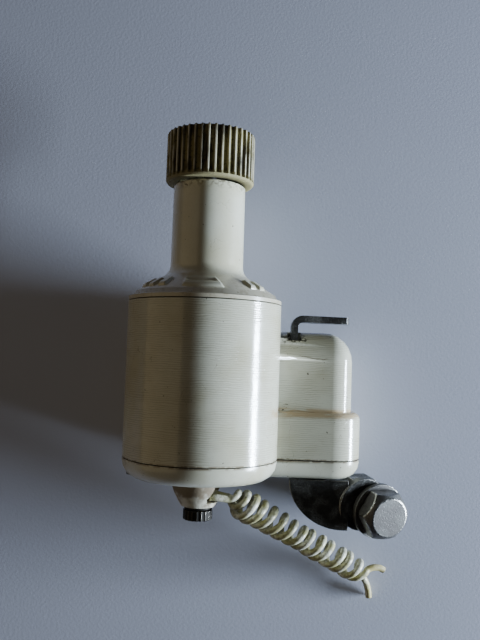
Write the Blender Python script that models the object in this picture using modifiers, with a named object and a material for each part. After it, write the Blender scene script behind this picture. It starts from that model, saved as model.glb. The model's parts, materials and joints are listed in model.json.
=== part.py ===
"""A bicycle bottle dynamo, lying on its back on a table.

The rotor axis runs along +Y towards the drive roller, +X points from the barrel to the spring
housing, and +Z is up from the table. Every shape is laid out from one corner point, the rotor
axis at the underside of the base cover, and the last step moves the whole object so that the
origin is at the middle of the underside of its bounding box.
"""

import math

import bmesh
import bpy
from mathutils import Matrix, Vector

MM = 0.001
GAP = 0.3 * MM
RUNNING_GAP = 0.08 * MM

# Housing
BARREL_R = 22.0 * MM
BARREL_INNER_R = 20.4 * MM
AXIS_Z = BARREL_R
COVER_TOP = 5.5 * MM
COVER_ROUND = 4.8 * MM
COVER_FLOOR = 2.0 * MM
BARREL_TOP = 49.2 * MM
NECK_TOP = 83.5 * MM
NECK_R = 10.4 * MM

# Spring housing, beside the barrel and lower than the rotor axis. Each half is a rounded box.
PIVOT_X = 34.6 * MM
PIVOT_Z = 12.2 * MM
PIVOT_DROP = PIVOT_Z - AXIS_Z
UPPER_HALF = 9.9 * MM
UPPER_RIGHT = 43.8 * MM
UPPER_CORNER = 6.4 * MM
LOWER_HALF = 11.7 * MM
LOWER_RIGHT = 46.6 * MM
LOWER_CORNER = 9.0 * MM
SPRING_TOP = 42.4 * MM
SPRING_TOP_ROUND = 8.6 * MM
STEP_Y = 19.3 * MM
STEP_ROUND = 2.2 * MM
SLAB_LEFT = 3.0 * MM
SPRING_BORE_R = 8.0 * MM
TOP_BORE_R = 6.6 * MM

# Rotor
SHAFT_R = 2.0 * MM
ROLLER_R = 12.8 * MM
ROLLER_BOTTOM = 84.1 * MM
ROLLER_TOP = 98.6 * MM
FLUTES = 40
FLUTE_DEPTH = 0.9 * MM
MAGNET_R = 10.6 * MM
MAGNET_LOW = 13.5 * MM
MAGNET_HIGH = 34.0 * MM

# Stator
PLATE_R = 18.9 * MM
PLATE_THICK = 1.2 * MM
LOWER_PLATE_Y = 10.9 * MM
UPPER_PLATE_Y = 35.4 * MM
CLAWS = 4
CLAW_R = 11.4 * MM
CLAW_THICK = 1.1 * MM
CLAW_LENGTH = 19.5 * MM

# Release lever: sheet steel, bent over the top of the spring housing
LEVER_THICK = 2.0 * MM
LEVER_LOW_Z = 14.4 * MM
LEVER_HIGH_Z = 19.4 * MM
LEVER_X = 26.3 * MM
LEVER_ARM_Y = 46.2 * MM
LEVER_END_X = 42.2 * MM
LEVER_PIN_Y = 34.5 * MM
LEVER_PIN_R = 1.0 * MM

# Bracket
SPINDLE_R = 3.0 * MM
FOOT_LOW = -3.6 * MM
FOOT_HIGH = -1.3 * MM
FOOT_R = 7.6 * MM
SWING_ROOM_R = 11.8 * MM
LUG_FRONT_Z = 20.0 * MM
LUG_THICK = 2.4 * MM
LUG_CENTRE_X = 41.5 * MM
LUG_HALF_WIDTH = 15.6 * MM
LUG_DEPTH = 14.1 * MM
LUG_TOP_Y = -0.3 * MM

# Clamp bolt, M8 with a 13 mm hexagon, measured back from the middle of its head's face
BOLT_FACE = Vector((54.5, -9.8, 23.0)) * MM
BOLT_WAY = Vector((0.36, -0.13, 0.923)).normalized()
BOLT_FLATS = 13.0 * MM
BOLT_HEAD = 5.3 * MM
BOLT_R = 4.0 * MM
BOLT_LENGTH = 22.8 * MM
WASHER_R = 8.0 * MM
WASHER_FROM = 5.6 * MM
WASHER_TO = 7.2 * MM
LUG_PLATE_FROM = 7.5 * MM
LUG_PLATE_TO = 9.9 * MM
SPRING_WASHER_FROM = 12.8 * MM
SPRING_WASHER_TO = 14.6 * MM
NUT_FROM = 14.9 * MM
NUT_TO = 21.4 * MM

# Terminal, on the rotor axis below the base cover
STUD_R = 1.6 * MM
COLLAR_LOW = -8.1 * MM
TERMINAL_NUT_LOW = -11.9 * MM
TERMINAL_NUT_R = 4.2 * MM

# Twin lead
CORE_R = 1.0 * MM
COIL_R = 4.0 * MM
COIL_START = Vector((11.6, -6.7, 22.0)) * MM
COIL_END = Vector((48.6, -29.9, 4.1)) * MM

PARTS = "bottle_dynamo"
CUTTERS = "bottle_dynamo_cutters"


def clear_scene():
    for obj in list(bpy.data.objects):
        bpy.data.objects.remove(obj, do_unlink=True)


def new_collection(name, hidden):
    collection = bpy.data.collections.new(name)
    bpy.context.scene.collection.children.link(collection)
    collection.hide_render = hidden
    return collection


def new_material(name, colour, roughness, metallic=0.0):
    material = bpy.data.materials.new(name)
    material.use_nodes = True
    shader = material.node_tree.nodes["Principled BSDF"]
    shader.inputs["Base Color"].default_value = (*colour, 1.0)
    shader.inputs["Roughness"].default_value = roughness
    shader.inputs["Metallic"].default_value = metallic


def make_materials():
    new_material("cream", (0.72, 0.70, 0.64), 0.38)
    new_material("collar", (0.70, 0.67, 0.57), 0.45)
    new_material("roller", (0.33, 0.29, 0.17), 0.5, 0.8)
    new_material("dark_steel", (0.17, 0.16, 0.15), 0.45, 0.9)
    new_material("zinc", (0.55, 0.55, 0.52), 0.4, 0.9)
    new_material("spring", (0.35, 0.34, 0.33), 0.35, 0.9)
    new_material("black_nut", (0.05, 0.05, 0.05), 0.5, 0.3)
    new_material("brass", (0.62, 0.47, 0.2), 0.35, 0.9)
    new_material("bronze", (0.5, 0.34, 0.18), 0.5, 0.8)
    new_material("magnet", (0.09, 0.09, 0.1), 0.6)
    new_material("bobbin", (0.1, 0.1, 0.1), 0.5)
    new_material("copper", (0.6, 0.25, 0.11), 0.35, 0.8)
    new_material("felt", (0.3, 0.27, 0.22), 0.95)
    new_material("lead", (0.66, 0.63, 0.48), 0.42)


def link(obj, collection):
    for old in list(obj.users_collection):
        old.objects.unlink(obj)
    bpy.data.collections[collection].objects.link(obj)


def hang(obj, parent):
    """Parents the object and leaves it where it is."""
    bpy.context.view_layer.update()
    obj.parent = parent
    obj.matrix_parent_inverse = parent.matrix_world.inverted()


def finish(obj, material, parent):
    """A piece: its material, its smooth shading, its collection and the joint that it rides on."""
    obj.data.materials.clear()
    obj.data.materials.append(bpy.data.materials[material])
    if obj.type == "MESH":
        obj.data.shade_smooth()
        obj.data.set_sharp_from_angle(angle=math.radians(35))
    link(obj, PARTS)
    hang(obj, parent)
    return obj


def as_cutter(obj, parent):
    obj.hide_render = True
    obj.display_type = "WIRE"
    link(obj, CUTTERS)
    hang(obj, parent)
    return obj


def boolean(obj, other, operation="DIFFERENCE"):
    modifier = obj.modifiers.new(operation.lower(), "BOOLEAN")
    modifier.operation = operation
    modifier.solver = "EXACT"
    modifier.object = other


def mesh_object(name, bm):
    bmesh.ops.recalc_face_normals(bm, faces=bm.faces)
    mesh = bpy.data.meshes.new(name)
    bm.to_mesh(mesh)
    bm.free()
    obj = bpy.data.objects.new(name, mesh)
    bpy.context.scene.collection.objects.link(obj)
    return obj


def along_y(obj, x=0.0, z=AXIS_Z):
    """Turns a shape made about local Z so that local Z is world +Y."""
    obj.location = (x, 0.0, z)
    obj.rotation_euler = (-math.pi / 2, 0.0, 0.0)
    return obj


def rod(name, radius, low, high, x=0.0, z=AXIS_Z, sides=32):
    """A round bar along Y."""
    bm = bmesh.new()
    length = high - low
    bmesh.ops.create_cone(bm, cap_ends=True, segments=sides, radius1=radius, radius2=radius, depth=length)
    bmesh.ops.translate(bm, verts=bm.verts, vec=(0.0, 0.0, (low + high) / 2))
    return along_y(mesh_object(name, bm), x, z)


def pivot_rod(name, radius, low, high):
    """A round bar along the bracket's pivot."""
    return rod(name, radius, low, high, PIVOT_X, PIVOT_Z, 40)


def block(name, low, high):
    """A box between two corners."""
    bm = bmesh.new()
    bmesh.ops.create_cube(bm, size=1.0)
    size = Vector(high) - Vector(low)
    bmesh.ops.scale(bm, verts=bm.verts, vec=size)
    obj = mesh_object(name, bm)
    obj.location = (Vector(low) + Vector(high)) / 2
    return obj


def turned(name, profile, x=0.0, z=AXIS_Z, steps=48):
    """A shape turned about Y. The profile is (radius, y) points, down the outer side first."""
    bm = bmesh.new()
    verts = [bm.verts.new((radius, 0.0, y)) for radius, y in profile]
    for first, second in zip(verts, verts[1:]):
        bm.edges.new((first, second))
    if profile[0][0] > 0.0:
        bm.edges.new((verts[-1], verts[0]))
    mesh = bpy.data.meshes.new(name)
    bm.to_mesh(mesh)
    bm.free()
    obj = bpy.data.objects.new(name, mesh)
    bpy.context.scene.collection.objects.link(obj)
    screw = obj.modifiers.new("turn", "SCREW")
    screw.steps = steps
    screw.render_steps = steps
    screw.use_merge_vertices = True
    screw.merge_threshold = 0.00001
    return along_y(obj, x, z)


def ring(name, inner, outer, low, high, x=0.0, z=AXIS_Z, steps=48):
    return turned(name, [(outer, high), (outer, low), (inner, low), (inner, high)], x, z, steps)


def arc(centre, radius, start, end, steps):
    """Points on an arc, from one angle in degrees to another, both ends included."""
    points = []
    for i in range(steps + 1):
        angle = math.radians(start + (end - start) * i / steps)
        points.append((centre[0] + radius * math.cos(angle), centre[1] + radius * math.sin(angle)))
    return points


def outline_mesh(name, outlines, thick):
    """A flat closed outline, with any holes, made into a plate of this thickness about z = 0."""
    curve = bpy.data.curves.new(name, "CURVE")
    curve.dimensions = "2D"
    curve.fill_mode = "BOTH"
    curve.extrude = thick / 2
    for points in outlines:
        spline = curve.splines.new("POLY")
        spline.points.add(len(points) - 1)
        for point, (x, y) in zip(spline.points, points):
            point.co = (x, y, 0.0, 1.0)
        spline.use_cyclic_u = True
    guide = bpy.data.objects.new(name + "_outline", curve)
    bpy.context.scene.collection.objects.link(guide)
    bpy.context.view_layer.update()
    evaluated = guide.evaluated_get(bpy.context.evaluated_depsgraph_get())
    mesh = bpy.data.meshes.new_from_object(evaluated)
    bpy.data.objects.remove(guide, do_unlink=True)
    bm = bmesh.new()
    bm.from_mesh(mesh)
    bpy.data.meshes.remove(mesh)
    bmesh.ops.remove_doubles(bm, verts=bm.verts, dist=0.000001)
    return mesh_object(name, bm)


def plate(name, outlines, low, high):
    """A flat outline in X and Z, thick along Y. The outline's second value is z - AXIS_Z."""
    flipped = [[(x, -z) for x, z in points] for points in outlines]
    obj = outline_mesh(name, flipped, high - low)
    along_y(obj)
    obj.location.y = (low + high) / 2
    return obj


def stacked(name, outline_at, sections):
    """A solid between level outlines. Each section is its y and how far its outline is drawn in."""
    bm = bmesh.new()
    loops = [[bm.verts.new((x, -z, y)) for x, z in outline_at(inset)] for y, inset in sections]
    for below, above in zip(loops, loops[1:]):
        for i, vert in enumerate(below):
            bm.faces.new((below[i - 1], vert, above[i], above[i - 1]))
    bm.faces.new(loops[0])
    bm.faces.new(loops[-1])
    return along_y(mesh_object(name, bm))


def rounding(y, radius, way, steps):
    """Sections of a rim rounded into the flat face at y. The way is +1 for a top, -1 for a bottom."""
    sections = []
    for i in range(steps + 1):
        angle = math.radians(90 * i / steps)
        sections.append((y - way * radius * (1 - math.sin(angle)), radius * (1 - math.cos(angle))))
    return sections if way > 0 else sections[::-1]


def rounded_end(half, right, corner, inset):
    """The outer end of a rounded box about the pivot's height, from its underside to its top."""
    radius = max(corner - inset, 0.2 * MM)
    reach = half - inset - radius
    x = right - inset - radius
    under = arc((x, PIVOT_DROP - reach), radius, -90, 0, 8)
    return under + arc((x, PIVOT_DROP + reach), radius, 0, 90, 8)


def upper_outline(inset):
    """The upper spring housing, whose outline ends inside the barrel."""
    side = UPPER_HALF - inset
    inner = [(SLAB_LEFT, PIVOT_DROP + side), (SLAB_LEFT, PIVOT_DROP - side)]
    return rounded_end(UPPER_HALF, UPPER_RIGHT, UPPER_CORNER, inset) + inner


def lower_outline(inset):
    """The lower spring housing, whose outline ends inside the barrel."""
    side = LOWER_HALF - inset
    inner = [(SLAB_LEFT, PIVOT_DROP + side), (SLAB_LEFT, PIVOT_DROP - side)]
    return rounded_end(LOWER_HALF, LOWER_RIGHT, LOWER_CORNER, inset) + inner


def cover_outline(inset):
    """The barrel's circle joined to the lower spring housing."""
    barrel = BARREL_R - inset
    side = LOWER_HALF - inset
    first = math.degrees(math.asin((PIVOT_DROP + side) / barrel))
    last = math.degrees(math.asin((PIVOT_DROP - side) / barrel))
    around = arc((0.0, 0.0), barrel, first, 360 + last, 44)
    return rounded_end(LOWER_HALF, LOWER_RIGHT, LOWER_CORNER, inset) + around


def hexagon(radius):
    return arc((0.0, 0.0), radius, 0, 300, 5)


def joint_empty(name, location, root):
    empty = bpy.data.objects.new(name, None)
    empty.empty_display_size = 5 * MM
    empty.location = location
    bpy.data.collections[PARTS].objects.link(empty)
    hang(empty, root)
    return empty


def make_base_cover(root):
    sections = rounding(0.0, COVER_ROUND, -1, 4) + [(COVER_TOP, 0.0)]
    cover = stacked("base_cover", cover_outline, sections)
    hollow = rod("cover_hollow", 16.6 * MM, COVER_FLOOR, COVER_TOP + MM, sides=40)
    spring_hollow = pivot_rod("cover_spring_hollow", SPRING_BORE_R, COVER_FLOOR, COVER_TOP + MM)
    stud_hole = rod("cover_stud_hole", STUD_R + GAP, -MM, COVER_TOP, sides=20)
    spindle_hole = pivot_rod("cover_spindle_hole", SPINDLE_R + GAP, -MM, COVER_TOP)
    for cutter in (hollow, spring_hollow, stud_hole, spindle_hole):
        boolean(cover, as_cutter(cutter, root))
    for i, (x, z) in enumerate(screw_places()):
        hole = turned(f"cover_screw_hole_{i + 1}", screw_profile(GAP), x, z, 20)
        boolean(cover, as_cutter(hole, root))
    return finish(cover, "cream", root)


def screw_places():
    """Three cover screws, spread round the back of the barrel."""
    radius = 18.3 * MM
    angles = [math.radians(a) for a in (165, 240, 315)]
    return [(radius * math.cos(a), AXIS_Z + radius * math.sin(a)) for a in angles]


def screw_profile(clearance):
    """A countersunk screw: head at the bottom, point at the top."""
    head_r = 2.4 * MM + clearance
    body_r = 1.2 * MM + clearance
    low = 0.9 * MM - 4 * clearance
    high = 9.8 * MM + clearance
    return [(0.0, high), (body_r, high), (body_r, 2.2 * MM), (head_r, 1.4 * MM), (head_r, low), (0.0, low)]


def make_cover_screws(root):
    for i, (x, z) in enumerate(screw_places()):
        screw = turned(f"cover_screw_{i + 1}", screw_profile(0.0), x, z, 20)
        half = 0.3 * MM
        slot = block(f"screw_slot_{i + 1}", (x - 3 * MM, 0.0, z - half), (x + 3 * MM, 1.3 * MM, z + half))
        boolean(screw, as_cutter(slot, root))
        finish(screw, "dark_steel", root)


def make_barrel_housing(root):
    low = COVER_TOP + GAP
    barrel = rod("barrel_housing", BARREL_R, low, BARREL_TOP, sides=72)
    sections = [(STEP_Y - 4 * MM, 0.0)] + rounding(SPRING_TOP, SPRING_TOP_ROUND, 1, 6)
    upper = stacked("spring_housing_upper", upper_outline, sections)
    sections = [(low + 0.05 * MM, 0.0)] + rounding(STEP_Y, STEP_ROUND, 1, 4)
    lower = stacked("spring_housing_lower", lower_outline, sections)
    boolean(barrel, as_cutter(lower, root), "UNION")
    boolean(barrel, as_cutter(upper, root), "UNION")
    inside = rod("barrel_bore", BARREL_INNER_R, 0.0, BARREL_TOP + MM, sides=64)
    spring_bore = pivot_rod("spring_bore", SPRING_BORE_R, 0.0, 32.6 * MM)
    top_bore = pivot_rod("spring_bore_top", TOP_BORE_R, 30 * MM, 38.2 * MM)
    notch = block("lever_notch", (24.3 * MM, 40.6 * MM, 13.9 * MM), (28.5 * MM, 45 * MM, 24 * MM))
    slot = block("lever_slot", (24.4 * MM, 35 * MM, 14.0 * MM), (28.4 * MM, 41 * MM, 19.7 * MM))
    passage = block("lever_passage", (23.9 * MM, 30.4 * MM, 13.8 * MM), (31.5 * MM, 36.6 * MM, 19.8 * MM))
    boolean(passage, as_cutter(slot, root), "UNION")
    boolean(passage, as_cutter(notch, root), "UNION")
    pin_bore = pin_rod("lever_pin_bore", LEVER_PIN_R + GAP, 12.5 * MM, 20.9 * MM)
    for cutter in (inside, spring_bore, top_bore, passage, pin_bore):
        boolean(barrel, as_cutter(cutter, root))
    for i, (x, z) in enumerate(screw_places()):
        boss = rod(f"screw_boss_{i + 1}", 2.9 * MM, low + 0.2 * MM, 10.5 * MM, x, z, 20)
        boolean(barrel, as_cutter(boss, root), "UNION")
        hole = rod(f"screw_boss_hole_{i + 1}", 1.2 * MM + GAP, 0.0, 10.2 * MM, x, z, 16)
        boolean(barrel, as_cutter(hole, root))
    return finish(barrel, "cream", root)


def pin_rod(name, radius, low_z, high_z):
    """A round pin along Z at the lever's pivot."""
    bm = bmesh.new()
    length = high_z - low_z
    bmesh.ops.create_cone(bm, cap_ends=True, segments=20, radius1=radius, radius2=radius, depth=length)
    obj = mesh_object(name, bm)
    obj.location = (LEVER_X, LEVER_PIN_Y, (low_z + high_z) / 2)
    return obj


def neck_outer_profile():
    """The cone of the shoulder and the hollow curve that runs up into the neck."""
    points = [(NECK_R - 0.4 * MM, NECK_TOP), (NECK_R, NECK_TOP - 0.4 * MM), (NECK_R + 0.1 * MM, 60.3 * MM)]
    bend = 4.2 * MM
    for i in range(1, 7):
        angle = math.radians(59 * i / 6)
        radius = NECK_R + 0.1 * MM + bend * (1 - math.cos(angle))
        points.append((radius, 60.3 * MM - bend * math.sin(angle)))
    points += [(20.3 * MM, 52.0 * MM), (20.6 * MM, 50.9 * MM), (BARREL_R, 50.5 * MM)]
    return points + [(BARREL_R, BARREL_TOP + GAP)]


def make_neck_housing(root):
    inner = [
        (18.6 * MM, BARREL_TOP + GAP),
        (18.0 * MM, 50.8 * MM),
        (8.3 * MM, 58.0 * MM),
        (8.3 * MM, 67.4 * MM),
        (4.9 * MM, 67.4 * MM),
        (4.9 * MM, 80.2 * MM),
        (7.6 * MM, 80.2 * MM),
        (7.6 * MM, NECK_TOP),
    ]
    return finish(turned("neck_housing", neck_outer_profile() + inner, steps=56), "cream", root)


def make_bearings(root):
    bore = SHAFT_R + RUNNING_GAP
    finish(ring("upper_bearing", bore, 4.6 * MM, 67.6 * MM, 79.8 * MM, steps=24), "bronze", root)
    finish(ring("lower_bearing", bore, 4.3 * MM, 6.4 * MM, 11.9 * MM, steps=24), "bronze", root)
    finish(ring("dust_seal", SHAFT_R + GAP, 7.3 * MM, 80.5 * MM, 82.9 * MM, steps=24), "felt", root)


def claw_disc(name, low, claw_low, claw_high, turn):
    """A pole plate: a disc with a hole, and claws that stand on it between the magnet and the coil."""
    disc = ring(name, 4.7 * MM, PLATE_R, low, low + PLATE_THICK, steps=48)
    mid_r = CLAW_R + CLAW_THICK / 2
    cutters = []
    for i in range(CLAWS):
        angle = math.radians(turn + 360 * i / CLAWS)
        half = 3.4 * MM
        side = CLAW_THICK / 2
        claw = block(f"{name}_claw_{i + 1}", (-side, claw_low, -half), (side, claw_high, half))
        claw.location.x = mid_r * math.cos(angle)
        claw.location.z = AXIS_Z + mid_r * math.sin(angle)
        claw.rotation_euler = (0.0, -angle, 0.0)
        cutters.append(claw)
    return disc, cutters


def make_stator(root):
    low = LOWER_PLATE_Y
    lower, claws = claw_disc("stator_lower_plate", low, low + 0.2 * MM, low + CLAW_LENGTH, 0)
    for claw in claws:
        boolean(lower, as_cutter(claw, root), "UNION")
    finish(lower, "dark_steel", root)
    top = UPPER_PLATE_Y + PLATE_THICK
    upper, claws = claw_disc("stator_upper_plate", UPPER_PLATE_Y, top - CLAW_LENGTH, top - 0.2 * MM, 45)
    for claw in claws:
        boolean(upper, as_cutter(claw, root), "UNION")
    finish(upper, "dark_steel", root)
    sleeve = ring("stator_sleeve", PLATE_R + GAP, PLATE_R + 1.1 * MM, 11.2 * MM, 37.0 * MM, steps=48)
    finish(sleeve, "dark_steel", root)


def make_coil(root):
    outer = 18.7 * MM
    tube_out = 14.0 * MM
    bore = 13.3 * MM
    low = 12.5 * MM
    high = 35.0 * MM
    flange = 1.0 * MM
    spool = [(outer, high), (outer, high - flange), (tube_out, high - flange), (tube_out, low + flange)]
    spool += [(outer, low + flange), (outer, low), (bore, low), (bore, high)]
    finish(turned("coil_bobbin", spool, steps=36), "bobbin", root)
    inset = flange + GAP
    winding = ring("coil_winding", tube_out + GAP, 18.2 * MM, low + inset, high - inset, steps=36)
    finish(winding, "copper", root)


def make_contact(root):
    eye = arc((0.0, 0.0), 3.4 * MM, 20, 340, 16)
    strip = eye + [(14.5 * MM, -1.2 * MM), (14.5 * MM, 1.2 * MM)]
    hole = arc((0.0, 0.0), STUD_R + GAP, 0, 345, 15)
    finish(plate("contact_strip", [strip, hole], 2.4 * MM, 2.9 * MM), "brass", root)
    nut = plate("terminal_inner_nut", [hexagon(3.2 * MM), hole], 3.2 * MM, 4.8 * MM)
    finish(nut, "brass", root)


def make_rotor(axis):
    finish(rod("rotor_shaft", SHAFT_R, 6.2 * MM, 98.2 * MM), "spring", axis)
    hub = ring("magnet_hub", SHAFT_R + GAP, 4.3 * MM, 12.6 * MM, 34.8 * MM, steps=24)
    finish(hub, "bobbin", axis)
    magnet = ring("magnet_ring", 4.6 * MM, MAGNET_R, MAGNET_LOW, MAGNET_HIGH, steps=40)
    finish(magnet, "magnet", axis)
    finish(ring("thrust_washer", SHAFT_R + GAP, 4.4 * MM, 66.4 * MM, 67.0 * MM, steps=24), "bronze", axis)
    finish(ring("shaft_circlip", SHAFT_R + GAP, 3.6 * MM, 65.2 * MM, 66.0 * MM, steps=24), "spring", axis)
    make_roller(axis)
    washer = ring("roller_washer", SHAFT_R + GAP, 5.0 * MM, 94.6 * MM, 95.4 * MM, steps=24)
    finish(washer, "zinc", axis)
    hole = arc((0.0, 0.0), SHAFT_R + GAP, 0, 337.5, 15)
    nut = plate("roller_nut", [hexagon(4.4 * MM), hole], 95.7 * MM, 98.0 * MM)
    finish(nut, "zinc", axis)


def flute_outline():
    """The roller's straight flutes: narrow lands with a rounded groove between each two."""
    points = []
    step = 2 * math.pi / FLUTES
    for i in range(FLUTES):
        for share, depth in ((-0.1, 0.0), (0.1, 0.0), (0.22, 0.8), (0.78, 0.8)):
            radius = ROLLER_R - depth * FLUTE_DEPTH
            angle = step * (i + share)
            points.append((radius * math.cos(angle), radius * math.sin(angle)))
    return points


def make_roller(axis):
    roller = plate("drive_roller", [flute_outline()], ROLLER_BOTTOM, ROLLER_TOP)
    chamfer = turned(
        "roller_envelope",
        [
            (0.0, ROLLER_TOP + MM),
            (ROLLER_R - 0.5 * MM, ROLLER_TOP + 0.1 * MM),
            (ROLLER_R + 0.3 * MM, ROLLER_TOP - 0.7 * MM),
            (ROLLER_R + 0.3 * MM, ROLLER_BOTTOM + 1.3 * MM),
            (ROLLER_R - 1.4 * MM, ROLLER_BOTTOM - 0.1 * MM),
            (0.0, ROLLER_BOTTOM - MM),
        ],
        steps=40,
    )
    recess = rod("roller_recess", 7.5 * MM, 94.3 * MM, ROLLER_TOP + MM, sides=32)
    skirt = rod("roller_skirt", 9.4 * MM, ROLLER_BOTTOM - MM, 87.5 * MM, sides=32)
    bore = rod("roller_bore", SHAFT_R + GAP, 80 * MM, 99 * MM, sides=24)
    boolean(roller, as_cutter(chamfer, axis), "INTERSECT")
    for cutter in (recess, skirt, bore):
        boolean(roller, as_cutter(cutter, axis))
    return finish(roller, "roller", axis)


def make_terminal(root):
    finish(ring("terminal_insulator", STUD_R + GAP, 6.2 * MM, -1.1 * MM, -GAP, steps=24), "bobbin", root)
    finish(rod("terminal_stud", STUD_R, TERMINAL_NUT_LOW - 0.2 * MM, 5.2 * MM, sides=20), "brass", root)
    collar = turned(
        "terminal_collar",
        [
            (7.9 * MM, -GAP),
            (7.6 * MM, -2.6 * MM),
            (6.9 * MM, -4.6 * MM),
            (5.7 * MM, -6.8 * MM),
            (4.9 * MM, COLLAR_LOW),
            (2.2 * MM, COLLAR_LOW),
            (2.2 * MM, -7.0 * MM),
            (4.4 * MM, -6.6 * MM),
            (5.9 * MM, -4.2 * MM),
            (6.6 * MM, -2.2 * MM),
            (6.6 * MM, -GAP),
        ],
        steps=40,
    )
    mouth = block("collar_mouth", (2.6 * MM, -6.7 * MM, 17.9 * MM), (12 * MM, 1 * MM, 27.9 * MM))
    boolean(collar, as_cutter(mouth, root))
    return finish(collar, "collar", root)


def make_terminal_nut(axis):
    high = COLLAR_LOW - GAP
    washer = ring("terminal_washer", STUD_R + GAP, 3.9 * MM, high - 0.5 * MM, high, steps=24)
    finish(washer, "black_nut", axis)
    knurl = []
    teeth = 20
    for i in range(teeth * 2):
        radius = TERMINAL_NUT_R - (0.25 * MM if i % 2 else 0.0)
        angle = math.pi * i / teeth
        knurl.append((radius * math.cos(angle), radius * math.sin(angle)))
    hole = arc((0.0, 0.0), STUD_R + GAP, 0, 337.5, 15)
    nut = plate("terminal_nut", [knurl, hole], TERMINAL_NUT_LOW, COLLAR_LOW - 1.1 * MM)
    return finish(nut, "black_nut", axis)


def corner_path(points, radius, steps):
    """A path in X and Y whose inner corners are rounded to this radius."""
    path = [Vector(points[0])]
    for before, corner, after in zip(points, points[1:], points[2:]):
        corner = Vector(corner)
        into = (corner - Vector(before)).normalized()
        out = (Vector(after) - corner).normalized()
        turn = into.angle(out)
        cut = radius * math.tan(turn / 2)
        first = corner - into * cut
        last = corner + out * cut
        centre = first + (last - first) / 2
        centre += (centre - corner).normalized() * (radius / math.cos(turn / 2) - (centre - corner).length)
        for i in range(steps + 1):
            path.append(arc_point(centre, first, last, i / steps))
    path.append(Vector(points[-1]))
    return path


def arc_point(centre, first, last, share):
    start = first - centre
    turn = start.angle_signed(last - centre)
    return centre + Matrix.Rotation(-turn * share, 2) @ start


def strip(name, path, low_z, high_z, thick):
    """A strip of sheet metal that follows a path in X and Y."""
    bm = bmesh.new()
    verts = [bm.verts.new((x, y, low_z)) for x, y in path]
    edges = [bm.edges.new(pair) for pair in zip(verts, verts[1:])]
    grown = bmesh.ops.extrude_edge_only(bm, edges=edges)
    moved = [item for item in grown["geom"] if isinstance(item, bmesh.types.BMVert)]
    bmesh.ops.translate(bm, verts=moved, vec=(0.0, 0.0, high_z - low_z))
    obj = mesh_object(name, bm)
    solid = obj.modifiers.new("sheet", "SOLIDIFY")
    solid.thickness = thick
    solid.offset = 0.0
    solid.use_even_offset = True
    return obj


def make_lever(pivot, root):
    path = corner_path(
        [(LEVER_X, 31.6 * MM), (LEVER_X, LEVER_ARM_Y), (LEVER_END_X, LEVER_ARM_Y - 0.2 * MM)],
        2.4 * MM,
        5,
    )
    lever = strip("release_lever", path, LEVER_LOW_Z, LEVER_HIGH_Z, LEVER_THICK)
    tip = lever_tip_cutter()
    eye = pin_rod("lever_eye", 1.9 * MM, LEVER_LOW_Z, LEVER_HIGH_Z)
    hole = pin_rod("lever_hole", LEVER_PIN_R + 0.2 * MM, 10 * MM, 24 * MM)
    boolean(lever, as_cutter(eye, pivot), "UNION")
    boolean(lever, as_cutter(hole, pivot))
    boolean(lever, as_cutter(tip, pivot), "INTERSECT")
    finish(lever, "dark_steel", pivot)
    finish(pin_rod("lever_pin", LEVER_PIN_R, 12.8 * MM, 20.6 * MM), "zinc", root)


def lever_tip_cutter():
    """The lever seen from above the housing: a strip with a round end."""
    half = (LEVER_HIGH_Z - LEVER_LOW_Z) / 2 + 0.02 * MM
    mid = (LEVER_HIGH_Z + LEVER_LOW_Z) / 2 - AXIS_Z
    end = arc((LEVER_END_X - 2.2 * MM, mid), half, -60, 60, 8)
    square = [(18 * MM, mid + half), (18 * MM, mid - half)]
    return plate("lever_tip", [end + square], 25 * MM, 50 * MM)


def bolt_frame():
    """A matrix whose Z runs out of the bolt's head, from the middle of the head's face."""
    right = Vector((BOLT_WAY.z, 0.0, -BOLT_WAY.x)).normalized()
    up = BOLT_WAY.cross(right)
    turn = Matrix((right, up, BOLT_WAY)).transposed().to_4x4()
    return Matrix.Translation(BOLT_FACE) @ turn


def on_bolt(obj, far, near):
    """Places a plate made about z = 0 between two distances behind the bolt's face."""
    obj.matrix_world = bolt_frame() @ Matrix.Translation((0.0, 0.0, -(far + near) / 2))
    return obj


def make_bracket(pivot):
    foot = [arc((PIVOT_X, PIVOT_DROP), FOOT_R, 0, 352, 40)]
    bracket = plate("mounting_bracket", foot, FOOT_LOW, FOOT_HIGH)
    far_corner = (41.0 * MM, FOOT_HIGH, LUG_FRONT_Z - 0.6 * MM)
    bridge = block("bracket_bridge", (29.4 * MM, FOOT_LOW, PIVOT_Z), far_corner)
    lug = outline_mesh("bracket_lug", [lug_outline()], LUG_THICK)
    lug.location.z = LUG_FRONT_Z - LUG_THICK / 2
    end = outline_mesh("bracket_end", [end_outline()], LUG_PLATE_TO - LUG_PLATE_FROM)
    on_bolt(end, LUG_PLATE_TO, LUG_PLATE_FROM)
    for piece in (bridge, lug, end):
        boolean(bracket, as_cutter(piece, pivot), "UNION")
    hole = outline_mesh("bracket_bolt_hole", [arc((0.0, 0.0), BOLT_R + GAP, 0, 345, 23)], 14 * MM)
    boolean(bracket, as_cutter(on_bolt(hole, LUG_PLATE_TO, LUG_PLATE_FROM), pivot))
    spindle_hole = pivot_rod("bracket_spindle_hole", SPINDLE_R + GAP, -8 * MM, 2 * MM)
    boolean(bracket, as_cutter(spindle_hole, pivot))
    swing_room = pivot_rod("bracket_swing_room", SWING_ROOM_R, LUG_TOP_Y, 12 * MM)
    boolean(bracket, as_cutter(swing_room, pivot))
    return finish(bracket, "dark_steel", pivot)


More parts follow.
